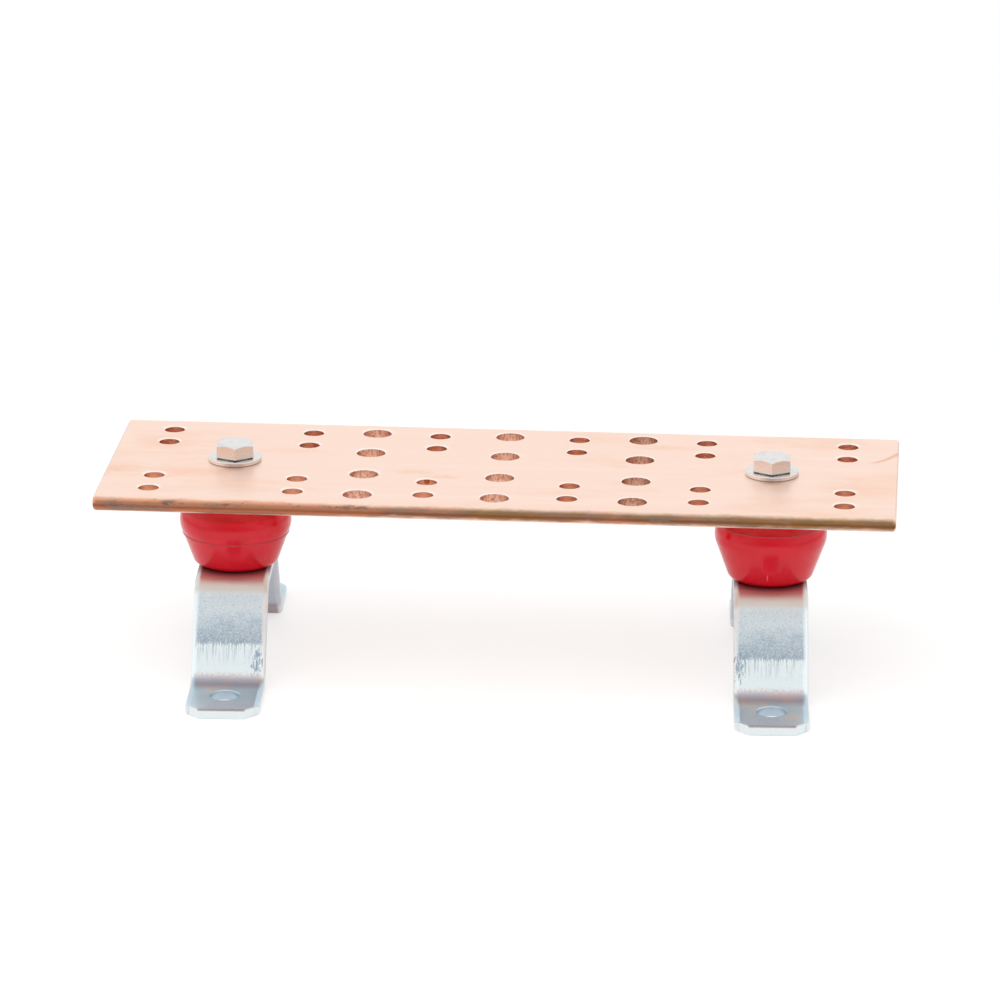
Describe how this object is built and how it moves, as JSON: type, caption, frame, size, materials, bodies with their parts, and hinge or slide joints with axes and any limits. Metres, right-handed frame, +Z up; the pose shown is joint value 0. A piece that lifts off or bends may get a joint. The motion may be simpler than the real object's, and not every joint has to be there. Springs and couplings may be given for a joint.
{
  "type": "rack grounding busbar",
  "caption": "Drilled copper grounding busbar with rounded edges, bolted to red stand-off insulators on bent zinc-plated hat brackets, for bonding lugs to earth.",
  "frame": {"origin": "on the floor plane under the feet, below the middle of the bar", "axes": "+X along the bar, +Y across it to the rear, +Z up"},
  "size_m": [0.3048, 0.1534, 0.0864],
  "materials": {
    "copper": "satin rolled copper",
    "red_insulator": "glossy moulded",
    "zinc_plated_steel": "bright zinc plating with a blue tint",
    "stainless_fasteners": "satin stainless",
    "insert_brass": "turned brass"
  },
  "bodies": {
    "root": {"busbar": "copper", "insulator_left": "red_insulator", "upper_insert_left": "insert_brass", "lower_insert_left": "insert_brass", "bracket_left": "zinc_plated_steel", "top_bolt_left": "stainless_fasteners", "top_washer_left": "stainless_fasteners", "bottom_bolt_left": "stainless_fasteners", "bottom_lock_washer_left": "stainless_fasteners", "insulator_right": "red_insulator", "upper_insert_right": "insert_brass", "lower_insert_right": "insert_brass", "bracket_right": "zinc_plated_steel", "top_bolt_right": "stainless_fasteners", "top_washer_right": "stainless_fasteners", "bottom_bolt_right": "stainless_fasteners", "bottom_lock_washer_right": "stainless_fasteners"}
  },
  "joints": []
}
